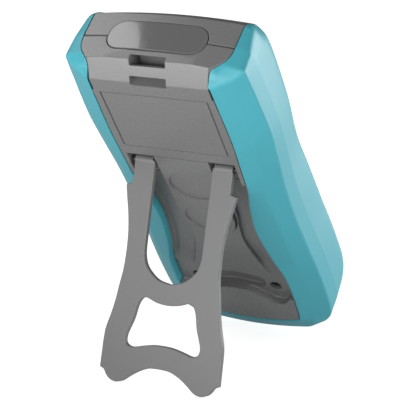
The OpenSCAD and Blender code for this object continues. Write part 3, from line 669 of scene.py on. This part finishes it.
def x_at(curve, y):
    """Where a curve that runs down the body crosses the height y."""
    for (x0, y0), (x1, y1) in zip(curve, curve[1:]):
        if y1 <= y <= y0:
            return x0 + (x1 - x0) * (y0 - y) / (y0 - y1)


def channel_section(y, side):
    """Cross-section at a height: two walls that sweep into a floor, which ramps up at the foot."""
    rise = max(0, (RAMP_Y1 - y) / (RAMP_Y1 - RAMP_Y0)) * (FLOOR_DZ - SEAT_DZ + 0.3)
    low = DEPTH - FLOOR_DZ + rise
    x0, x1 = x_at(flow(ISLAND_EDGE), y), x_at(flow(outer_edge), y)
    turns = [math.pi / 2 * k / 4 for k in range(5)]
    near = [(x0 + FOOT_R * (1 - math.cos(t)), low + FOOT_R * (1 - math.sin(t))) for t in turns]
    far = [(x1 - FOOT_R * (1 - math.sin(t)), low + FOOT_R * (1 - math.cos(t))) for t in turns]
    return [(side * x, z) for x, z in [(x0, DEPTH + 4)] + near + far + [(x1, DEPTH + 4)]]


for side in (-1, 1):
    heights = [CHANNEL_TOP - k * (CHANNEL_TOP - RAMP_Y0) / 32 for k in range(33)]
    tool = stack("channel", [(-y, channel_section(y, side)) for y in heights])
    place_by(tool, Matrix.Rotation(math.pi / 2, 4, "X"))
    carve(rear, tool)
trough = [(0, 34.06), (8, 33.2), (12.6, 32), (15.6, 33.6), (17, 36.8), (16.4, 39.8), (14.6, 41.2), (9.1, 42),
          (0, 43.2)]
hollow(both(flow(trough)), FLOOR_DZ)
for side in (-1, 1):
    x0, x1 = sorted((side * (ARM_IN + 0.5), side * CHEEK_X))
    hollow([(x0, 122), (x1, 122), (x1, BAR_Y), (x0, BAR_Y)], POCKET_DZ)
print("rear half with its seat:", len(rear.data.polygons), "faces")

# %% Battery bay, screw wells, strap tunnel, label outline
HEAD_WELL_R, SCREW_HOLE_R, COVER_HOLE_R, SLOT_W = 3.1, 1.65, 1.1, 9.2
hollow(cover_outline(0.25), COVER_DZ, 0.3)
carve(rear, box("battery_well", -WELL_W, WELL_W, WELL_Y0, WELL_Y1, DEPTH - WELL_DZ, DEPTH - COVER_DZ + 0.05))
carve(rear, disc("cover_screw_hole", 0, COVER_SCREW_Y, COVER_HOLE_R, DEPTH - 17, DEPTH))
for x, y in SCREWS:
    carve(rear, disc("screw_well", x, y, HEAD_WELL_R, DEPTH - 10, DEPTH + 1))
    carve(rear, disc("screw_hole", x, y, SCREW_HOLE_R, PARTING - 1, DEPTH))
tunnel = [(Y_TOP + 4, -7.2), (Y_TOP + 4, -3), (203.6, -4.6), (201.9, -7.2), (197.5, -4.3), (199.2, -1.75),
          (200.4, 2), (194.8, 2), (194.8, -14), (201, -16), (204.2, -10.4)]
carve(rear, prism("strap_tunnel", [(y, DEPTH + z) for y, z in tunnel], -SLOT_W, SLOT_W, "x"))
FIELD_X, FIELD_Y0, FIELD_Y1, LINE = 28.0, 148.8, 187.8, 0.35
for y in (FIELD_Y0, FIELD_Y1):
    carve(rear, box("line", -FIELD_X, FIELD_X, y - LINE, y + LINE, DEPTH - 0.8, DEPTH + 1))
for x in (-FIELD_X + LINE, FIELD_X - LINE):
    carve(rear, box("line", x - LINE, x + LINE, FIELD_Y0, FIELD_Y1, DEPTH - 0.8, DEPTH + 1))
print("rear half with all its hollows:", len(rear.data.polygons), "faces")

# %% [markdown]
# ## The window in the top end
# A polished window lies across the parting line and stands a little proud of the bowed end. It is a prism
# along the body, cut by the same bow and bend as the case but 0.3 mm higher, so it follows the end.

# %% Window and its pocket
CAP_W, CAP_Z0, CAP_Z1, CAP_R, PROUD = 25.5, DEPTH - 29, DEPTH - 11.5, 8.0, 0.3


def cap_outline(grow):
    return rounded(CAP_W + grow, (CAP_Z1 - CAP_Z0) / 2 + grow, CAP_R + grow, 0, (CAP_Z0 + CAP_Z1) / 2)


for half in (rear, front):
    carve(half, prism("cap_pocket", cap_outline(0.0), Y_TOP - 0.8, Y_TOP + 8, "y"))
cap = prism("top_window", cap_outline(-0.3), Y_TOP - 0.75, Y_TOP + 8, "y")
carve(cap, prism("bowed", under_crown(1, -0.6, Y_TOP + PROUD), -10, 60), "INTERSECT")
bend = [(150, -10), (END_Y + PROUD, -10), (END_Y + PROUD, PARTING), (BEND_Y + PROUD, DEPTH - BEND_DZ),
        (150, DEPTH - BEND_DZ)]
carve(cap, prism("bend", bend, -70, 70, "x"), "INTERSECT")
tidy_mesh(cap)
soften(cap, 0.3, 2)
finish_piece(cap, "meter", cap_gloss, "cap", "sensor_cap")

# %% Round the rear half
# A bisect beside the strap slots splits the long flat faces there, so that they shade evenly.
tidy_mesh(rear)
bpy.ops.object.mode_set(mode="EDIT")
for x in (-SLOT_W - 1, SLOT_W + 1):
    bpy.ops.mesh.select_all(action="SELECT")
    bpy.ops.mesh.bisect(plane_co=(x, 0, 0), plane_no=(1, 0, 0))
bpy.ops.object.mode_set(mode="OBJECT")
soften(rear, 0.45, 2, 31, clamp=False)
finish_piece(rear, "meter", abs_case, "case", "back_case")

# %% [markdown]
# ## The tilt stand
# A flat ABS moulding: two arms on a hinge, a web, an opening, an arch with two feet. The outline is drawn
# flat and extruded to its plate, its two openings are cut, the knuckles are joined and all edges rounded.
# Then it opens on its hinge.

# %% Tilt stand
KNUCKLE_R = 2.4
STAND_SIDE = [(29.6, 12.9), (28.6, 18.4), (27.1, 25.5), (25.9, 33.3), (25.4, 40.4), (25.4, 47.8),
              (25.9, 55.3), (27.1, 62.8), (28.2, 70.2), (29.8, 77.5), (31.8, 85.2), (32.2, 91)]
STAND_U = [(0, 58.9), (6, 57.6), (10, 55), (13.6, 51), (15.2, 46), (ARM_IN, 42)]
STAND_HOLE = [(0, 89.3), (5.5, 89.6), (10.8, 90.7), (16.7, 92), (19.4, 90.9), (20.3, 88), (17.3, 78.5),
              (15.3, 70), (13.2, 67.2), (11, 67), (6, 68.7), (0, 69.4)]
foot_curve = [(x, y - PIVOT_Y) for x, y in flow(ARCH)]
side_curve = [(x, -y) for x, y in reversed(flow(STAND_SIDE, 3))]
stand = prism("stand_plate", both(foot_curve + side_curve + [(ARM_OUT, -11.8), (ARM_OUT, 0), (0, 0)]),
              STAND_BACK - STAND_T, STAND_BACK)
gap = [(x, -y) for x, y in flow(STAND_U)] + [(ARM_IN, 9), (0, 9)]
carve(stand, prism("between_arms", both(gap), -9, 9))
carve(stand, prism("opening", flow(both([(x, -y) for x, y in STAND_HOLE]), closed=True), -9, 9))
for side in (-1, 1):
    x0, x1 = sorted((side * (ARM_IN + 1), side * ARM_OUT))
    carve(stand, prism("knuckle", circle(KNUCKLE_R, points=32), x0, x1, "x"), "UNION")
tidy_mesh(stand)
soften(stand, 0.5, 3, 40, clamp=False)
place_by(stand, HINGE)
finish_piece(stand, "stand", abs_stand, "stand", "tilt_stand")

# %% [markdown]
# ## The battery cover
# A raised tongue of the same ABS, which slopes down towards its screw and has two shallow finger ovals. Its
# outline is extruded, a slanting prism planes the top, and two flat ovals, tilted alike, sink into the slope.

# %% Battery cover
HIGH_DZ, LOW_DZ, OVAL_W, OVAL_L, OVAL_DEEP = 0.5, 3.0, 12.6, 11.1, 0.9
slope = math.atan((LOW_DZ - HIGH_DZ) / (COVER_Y1 - COVER_Y0))


def top_at(y):
    """Height of the cover's sloping top."""
    return DEPTH - HIGH_DZ - (COVER_Y1 - y) * math.tan(slope)


cover = prism("battery_lid", cover_outline(0), DEPTH - COVER_DZ, DEPTH + 2)
planed = [(y, top_at(y)) for y in (COVER_Y0 - 5, COVER_Y1 + 5)]
planed += [(COVER_Y1 + 5, DEPTH + 9), (COVER_Y0 - 5, DEPTH + 9)]
carve(cover, prism("planed", planed, -30, 30, "x"))
for y in (COVER_Y0 + 14.1, COVER_Y1 - 22):
    oval = prism("oval", circle(OVAL_W, points=64, squash=OVAL_L / OVAL_W), -OVAL_DEEP, 5)
    place_by(oval, Matrix.Translation((0, y, top_at(y))) @ Matrix.Rotation(slope, 4, "X"))
    carve(cover, oval)
carve(cover, disc("screw_hole", 0, COVER_SCREW_Y, 1.5, DEPTH - 9, DEPTH + 1))
carve(cover, disc("screw_seat", 0, COVER_SCREW_Y, 2.7, DEPTH - 4.4, DEPTH + 1))
carve(cover, box("tongue", -6, 6, COVER_Y1 - 1, COVER_Y1 + 2.6, DEPTH - COVER_DZ, DEPTH - 4.3), "UNION")
tidy_mesh(cover)
soften(cover, 0.25, 2, 35, clamp=False)
finish_piece(cover, "meter", abs_case, "case", "battery_cover")

# %% [markdown]
# ## Case screws
# Each screw is a turned steel part: a shank, a tall round head and a cross recess. A profile spun about its
# axis gives it, two crossed bars cut the recess, and four copies go to their places.

# %% Case screws
HEAD_R, SHANK_R, HEAD_Z, TIP_Z = 2.8, 1.45, DEPTH - 10, 13.0
screw = lathe("screw", [
    (0, TIP_Z), (SHANK_R, TIP_Z + 0.6), (SHANK_R, HEAD_Z), (HEAD_R, HEAD_Z), (HEAD_R, HEAD_Z + 3.5),
    (HEAD_R - 0.3, HEAD_Z + 4.0), (HEAD_R - 1.2, HEAD_Z + 4.3), (0, HEAD_Z + 4.4)])
for w, l in ((1.7, 0.4), (0.4, 1.7)):
    carve(screw, box("recess", -w, w, -l, l, HEAD_Z + 2.6, HEAD_Z + 5))
soften(screw, 0.12, 2, 35)
for k, (x, y) in enumerate(SCREWS, 1):
    finish_piece(copy_to(screw, f"case_screw_{k}", x, y), "meter", black_steel, "steel", "case_screws")
bpy.data.objects.remove(screw)

# %% [markdown]
# ## The front half
# The hidden side of the same shell: a thin face with a window, four key holes, the selector's bearing and
# four jack holes. A fine ring groove frames the selector's scale. Each opening is a prism cut through the
# face, and one bevel at the end rounds all the edges alike, as a mould does.

# %% Front case
PLATE_T, BOARD_Z, DIAL_Y, DIAL_R = 2.4, 10.0, 84.0, 34.0
VIEW_W, VIEW_L, LENS_EDGE, LENS_MID, LENS_T = 27.5, 36.0, 4.5, 168.5, 1.5
KEY_X, KEY_Y, KEY_W, KEY_L, KEY_GAP = (-27, -9, 9, 27), 127.0, 13.0, 8.0, 0.4
JACK_X, JACK_Y, SHROUD_R = (-28.5, -9.5, 9.5, 28.5), 24.5, 6.4
SHAFT_R = 6.0
carve(front, prism("cavity", case_outline(2.3, 186), PLATE_T, PARTING + 1))
lens_w, lens_l = VIEW_W + LENS_EDGE, VIEW_L / 2 + LENS_EDGE
carve(front, prism("window_seat", rounded(lens_w + 0.1, lens_l + 0.1, 3.1, 0, LENS_MID), -1, LENS_T + 0.05))
carve(front, prism("window_view", rounded(VIEW_W, VIEW_L / 2, 1.5, 0, LENS_MID), -1, 4))
for x in KEY_X:
    carve(front, prism("key_hole", rounded(KEY_W / 2 + KEY_GAP, KEY_L / 2 + KEY_GAP, 1.9, x, KEY_Y), -1, 4))
for x in JACK_X:
    carve(front, disc("jack_hole", x, JACK_Y, SHROUD_R, -1, 4))
carve(front, disc("bearing", 0, DIAL_Y, SHAFT_R + 0.05, -1, 6))
groove = disc("groove", 0, DIAL_Y, DIAL_R + 0.35, -1, 0.4, 96)
carve(groove, disc("inside", 0, DIAL_Y, DIAL_R - 0.35, -2, 2, 96))
carve(front, groove)
tidy_mesh(front)
soften(front, 0.3, 2, 35, clamp=False)
finish_piece(front, "meter", abs_case, "case", "front_case")

# %% [markdown]
# ## Window and display
# A clear moulded pane lies flush in the face. Its edge is printed black from behind, which hides the holder
# of the display. The display itself stays as the CAD has it, and shows a plain row of noughts.

# %% Window pane and its printed border
glass = prism("window_pane", rounded(lens_w, lens_l, 3, 0, LENS_MID), 0.0, LENS_T)
round_edges(glass, on_level(0.0), 0.35)
shade(glass, 35)
finish_piece(glass, "meter", pane, "lens", "display_lens")
border = prism("window_border", rounded(lens_w - 0.1, lens_l - 0.1, 2.9, 0, LENS_MID),
               LENS_T - 0.25, LENS_T - 0.1)
carve(border, prism("view", rounded(VIEW_W - 1, VIEW_L / 2 - 1, 1.5, 0, LENS_MID), 0, 4))
finish_piece(border, "meter", black_ink, "lens")

# %% Digits of the display
DIGIT_W, DIGIT_L, BAR, DIGIT_STEP, LCD_Z = 3.6, 7.2, 0.75, 11.4, PLATE_T + 0.6
FILM = (LCD_Z - 0.06, LCD_Z + 0.02)
SEGMENTS = [(0, DIGIT_L, True), (0, -DIGIT_L, True)]
SEGMENTS += [(x, y, False) for x in (DIGIT_W, -DIGIT_W) for y in (DIGIT_L / 2, -DIGIT_L / 2)]


def segment(x, y, flat):
    """One bar of a digit with pointed ends, lying flat or standing."""
    half = (DIGIT_W if flat else DIGIT_L / 2) - 0.25
    end = half - BAR
    shape = [(-half, 0), (-end, -BAR), (end, -BAR), (half, 0), (end, BAR), (-end, BAR)]
    return prism("segment", [(x + a, y + b) if flat else (x + b, y + a) for a, b in shape], *FILM)


def joined(pieces, name):
    alone(pieces[0])
    for piece in pieces:
        piece.select_set(True)
    bpy.ops.object.join()
    whole = bpy.context.object
    whole.name = name
    return whole


marks = [segment(DIGIT_STEP * (k - 1.5) + x, LENS_MID + y, flat) for k in range(4) for x, y, flat in SEGMENTS]
marks.append(disc("point", DIGIT_STEP, LENS_MID - DIGIT_L, 0.9, *FILM, 24))
finish_piece(joined(marks, "display_digits"), "meter", lcd_segment, "dark_plastic")

# %% [markdown]
# ## Keys
# Soft keys of silicone rubber: a rounded cap with a dished top, a flange that keeps it behind the face and a
# stem over the switch. One is modelled and copied four times, and each copy rides on its own body.

# %% Keys
KEY_TOP, KEY_FOOT, DISH_R = -1.5, PLATE_T + 2, 16.0
key = prism("key", rounded(KEY_W / 2, KEY_L / 2, 1.5, 0, KEY_Y), KEY_TOP, KEY_FOOT)
round_edges(key, on_level(KEY_TOP), 0.6)
dish = circle(DISH_R, KEY_Y, KEY_TOP + 0.35 - DISH_R, 96)
carve(key, prism("dish", dish, -KEY_W / 2 + 1.6, KEY_W / 2 - 1.6, "x"))
flange = rounded(KEY_W / 2 + 1, KEY_L / 2 + 1, 1.5, 0, KEY_Y)
carve(key, prism("flange", flange, PLATE_T + 0.4, PLATE_T + 1.6), "UNION")
carve(key, disc("stem", 0, KEY_Y, 2.2, KEY_FOOT - 0.5, BOARD_Z - 3.8), "UNION")
tidy_mesh(key, 0.01)
soften(key, 0.15, 2, 30)
for k, x in enumerate(KEY_X, 1):
    finish_piece(copy_to(key, f"key_cap_{k}", x), f"key_{k}_body", key_rubber, "elastomer", f"key_{k}")
bpy.data.objects.remove(key)

# %% [markdown]
# ## The selector
# A round skirt with a scalloped rim and a grip across it, moulded in one. The rim is a circle with a wave
# on it, the grip an outline that is extruded and drawn in at the top, and a boolean makes them one.
# A white bar in the end of the grip points to the scale.

# %% Selector knob
KNOB_R, KNOB_H, RIM_WAVES, WAVE = 23.5, 11.5, 30, 0.35
SKIRT_Z, ROTOR_Z, ROTOR_T = -0.45 * KNOB_H, 5.0, 1.6
turns = [2 * math.pi * k / 240 for k in range(240)]
rim = [KNOB_R - WAVE + WAVE * math.cos(RIM_WAVES * t) for t in turns]
wavy = [(r * math.cos(t), DIAL_Y + r * math.sin(t)) for r, t in zip(rim, turns)]
knob = prism("selector_grip", wavy, SKIRT_Z, -0.5)
round_edges(knob, on_level(SKIRT_Z), 1.1)
grip_half = [(0, -22.2), (3.4, -21.4), (5.4, -18.6), (5.8, -14), (5, -6), (4.8, 0), (5, 6), (5.6, 13),
             (4.6, 19), (2.6, 22), (0, 22.6)]
grip = prism("grip", [(x, DIAL_Y + y) for x, y in both(flow(grip_half, 3))], -KNOB_H, SKIRT_Z + 1.5)
round_edges(grip, on_level(-KNOB_H), 1.3, 4)
carve(knob, grip, "UNION")
carve(knob, disc("shaft", 0, DIAL_Y, SHAFT_R, -0.6, ROTOR_Z), "UNION")
carve(knob, box("drive", -2, 2, DIAL_Y - 2, DIAL_Y + 2, ROTOR_Z - 0.1, ROTOR_Z + ROTOR_T), "UNION")
POINTER = (-0.9, 0.9, DIAL_Y + 8, DIAL_Y + 20.5)
carve(knob, box("pointer_slot", *POINTER, -KNOB_H - 1, 0.5 - KNOB_H))
tidy_mesh(knob, 0.01)
soften(knob, 0.3, 2, 38, clamp=False)
finish_piece(knob, "selector", black_abs, "dark_plastic", "selector_knob")
pointer = box("selector_pointer", POINTER[0] + 0.1, POINTER[1] - 0.1, POINTER[2] + 0.1, POINTER[3] - 0.1,
              0.2 - KNOB_H, 0.6 - KNOB_H)
soften(pointer, 0.06, 2)
finish_piece(pointer, "selector", white_ink, "white_plastic")

# %% [markdown]
# ## Jacks
# Each input jack is a turned sleeve in a moulded insulator. The insulator's mouth is rounded so that a plug
# finds it, and its colour tells the common jack from the others. All of it is round, so a profile is spun.

# %% Jack insulators
MOUTH_R, SLEEVE_R, LIP_Z = 3.6, 3.05, -0.8
skin_r, rim_r = SHROUD_R - 0.02, SHROUD_R + 0.6
profile = [(SLEEVE_R, BOARD_Z), (SLEEVE_R, 3), (MOUTH_R, 3), (MOUTH_R, -0.1), (MOUTH_R + 0.25, -0.55),
           (MOUTH_R + 0.8, LIP_Z), (SHROUD_R - 0.8, LIP_Z), (SHROUD_R - 0.25, -0.6), (skin_r, -0.1),
           (skin_r, PLATE_T), (rim_r, PLATE_T), (rim_r, PLATE_T + 1.2), (skin_r, PLATE_T + 1.2),
           (skin_r, BOARD_Z)]
shroud = lathe("shroud", profile, 0, JACK_Y)
shade(shroud, 35)
live = (red_abs, "red_plastic", "jack_shrouds")
common = (black_abs, "dark_plastic", "jack_shroud_common")
for k, x in enumerate(JACK_X, 1):
    finish_piece(copy_to(shroud, f"jack_insulator_{k}", x), "meter", *(common if k == 2 else live))
bpy.data.objects.remove(shroud)

# %% [markdown]
# ## Print on the face
# The scale round the selector has ten numbered places and a small tick between each two. Screen print is a
# thin film of ink, so the marks stand only a few hundredths of a millimetre off the face.

# %% Scale, key marks and jack lines
INK_Z, PLACES, TICK_R0, TICK_R1, NUMBER_R, NUMBER_H = -0.04, 10, 25.0, 27.6, 30.6, 3.6
prints = []


def ink(outline):
    prints.append(prism("ink", outline, INK_Z, 0.1))


def turned(points, angle, x=0.0, y=0.0):
    """Points turned about the origin and then moved."""
    c, s = math.cos(angle), math.sin(angle)
    return [(x + a * c - b * s, y + a * s + b * c) for a, b in points]


for k in range(2 * PLACES):
    reach, half = (TICK_R1, 0.3) if k % 2 == 0 else (TICK_R0 + 1.3, 0.18)
    bar = [(-half, TICK_R0), (half, TICK_R0), (half, reach), (-half, reach)]
    ink(turned(bar, math.pi * k / PLACES, 0, DIAL_Y))
for k in range(PLACES):
    bpy.ops.object.select_all(action="DESELECT")
    bpy.ops.object.text_add()
    number = bpy.context.object
    number.data.body = str(k)
    number.data.size, number.data.extrude = NUMBER_H, 0.05
    number.data.align_x, number.data.align_y = "CENTER", "CENTER"
    bpy.ops.object.convert(target="MESH")
    angle = 2 * math.pi * k / PLACES
    x, y = -NUMBER_R * math.sin(angle), DIAL_Y + NUMBER_R * math.cos(angle)
    seat = Matrix.Translation((x, y, INK_Z + 0.05))
    place_by(bpy.context.object, seat @ Matrix.Rotation(math.pi, 4, "Y"))
    prints.append(bpy.context.object)
for x, sides in zip(KEY_X, (3, 4, 6, 24)):
    ink(turned(circle(1.1, points=sides), math.pi / 2, x, KEY_Y + 8))
for x in JACK_X:
    ink(rounded(0.2, 1.6, 0.19, x, JACK_Y + 10))
ink(rounded(JACK_X[3] + 0.2, 0.2, 0.19, 0, JACK_Y + 11.6))
print_film = joined(prints, "face_print")
finish_piece(print_film, "meter", white_ink, "white_plastic")

# %% [markdown]
# ## Floor, light and background
# A pale paper floor, a faint even sky and five soft boxes: one low behind the camera, a bright card on the
# table before the meter, one at the camera's right, one behind at the right that gives the boot its pale
# side, and one above at the left whose edge shows in the polished window. Rays that come straight from the
# camera, off a shiny face or through the pane see the floor brighter, and camera rays see the sky white, so
# the background comes out white. Diffuse rays don't, so the light on the object stays soft and low.

# %% Floor
NEAR_M, FAR_M, GLOW_NEAR, GLOW_FAR, GLOW_BASE = 0.2, 0.9, 0.5, 0.65, 0.35
bpy.ops.object.select_all(action="DESELECT")
bpy.ops.mesh.primitive_plane_add(size=12)
floor = bpy.context.object
floor.name = "floor"
# White paper: a flat even ground without a sheen.
finish, tree = new_finish("paper_floor_white")
seen = add(tree, "ShaderNodeLightPath").outputs
place = add(tree, "ShaderNodeTexCoord").outputs["Object"]
larger = {"operation": "MAXIMUM"}
bright = add(tree, "ShaderNodeMath", larger, i0=seen["Is Camera Ray"], i1=seen["Is Glossy Ray"])
bright = add(tree, "ShaderNodeMath", larger, i0=bright.outputs[0], i1=seen["Is Transmission Ray"])
paper = add(tree, "ShaderNodeBsdfDiffuse", Color=colour("#c4c4c4"))
reach = add(tree, "ShaderNodeVectorMath", {"operation": "LENGTH"}, i0=place)
far = add(tree, "ShaderNodeMapRange", Value=reach.outputs["Value"], i1=NEAR_M, i2=FAR_M,
          i3=GLOW_NEAR, i4=GLOW_FAR)
shine = add(tree, "ShaderNodeMath", {"operation": "MULTIPLY_ADD"}, i0=seen["Is Camera Ray"],
            i1=far.outputs[0], i2=GLOW_BASE)
glow = add(tree, "ShaderNodeEmission", Color=(1, 1, 1, 1), Strength=shine.outputs[0])
lifted = add(tree, "ShaderNodeAddShader", i0=paper.outputs[0], i1=glow.outputs[0])
pick = add(tree, "ShaderNodeMixShader", i0=bright.outputs[0], i1=paper.outputs[0], i2=lifted.outputs[0])
add(tree, "ShaderNodeOutputMaterial", Surface=pick.outputs[0])
floor.data.materials.append(finish)
print("floor ready")

# %% Sky and lamps
SKY_LIGHT, SKY_SEEN = 0.08, 1.0
world = bpy.data.worlds.new("studio")
bpy.context.scene.world = world
world.use_nodes = True
tree = world.node_tree
tree.nodes.clear()
seen = add(tree, "ShaderNodeLightPath").outputs
level = add(tree, "ShaderNodeMapRange", Value=seen["Is Camera Ray"], i3=SKY_LIGHT, i4=SKY_SEEN)
sky = add(tree, "ShaderNodeBackground", Color=(1, 1, 1, 1), Strength=level.outputs[0])
add(tree, "ShaderNodeOutputWorld", Surface=sky.outputs[0])


def lamp(name, place, aim, wide, high, power, roll=0):
    bpy.ops.object.select_all(action="DESELECT")
    bpy.ops.object.light_add(type="AREA", location=place)
    light = bpy.context.object
    light.name = name
    light.data.shape = "RECTANGLE"
    light.data.size, light.data.size_y, light.data.energy = wide, high, power
    facing = (Vector(aim) - Vector(place)).to_track_quat("-Z", "Y")
    light.rotation_euler = (facing.to_matrix() @ Matrix.Rotation(math.radians(roll), 3, "Z")).to_euler()


MIDDLE = (0, 0, 0.09)
lamp("front_box", (0.0, 1.3, 0.2), MIDDLE, 1.0, 0.36, 9)
lamp("floor_card", (0.3, 0.62, 0.004), (0.3, 0.62, 1), 0.85, 0.28, 9)
lamp("right_box", (-1.2, 0.3, 0.2), MIDDLE, 0.6, 0.36, 7)
lamp("side_box", (-0.72, -0.98, 0.25), MIDDLE, 0.6, 0.46, 9.4)
lamp("top_box", (0.78, 0.18, 1.0), MIDDLE, 0.6, 0.6, 4.4, 35)
bpy.context.scene.view_settings.view_transform = "Standard"
print("sky and lamps ready")
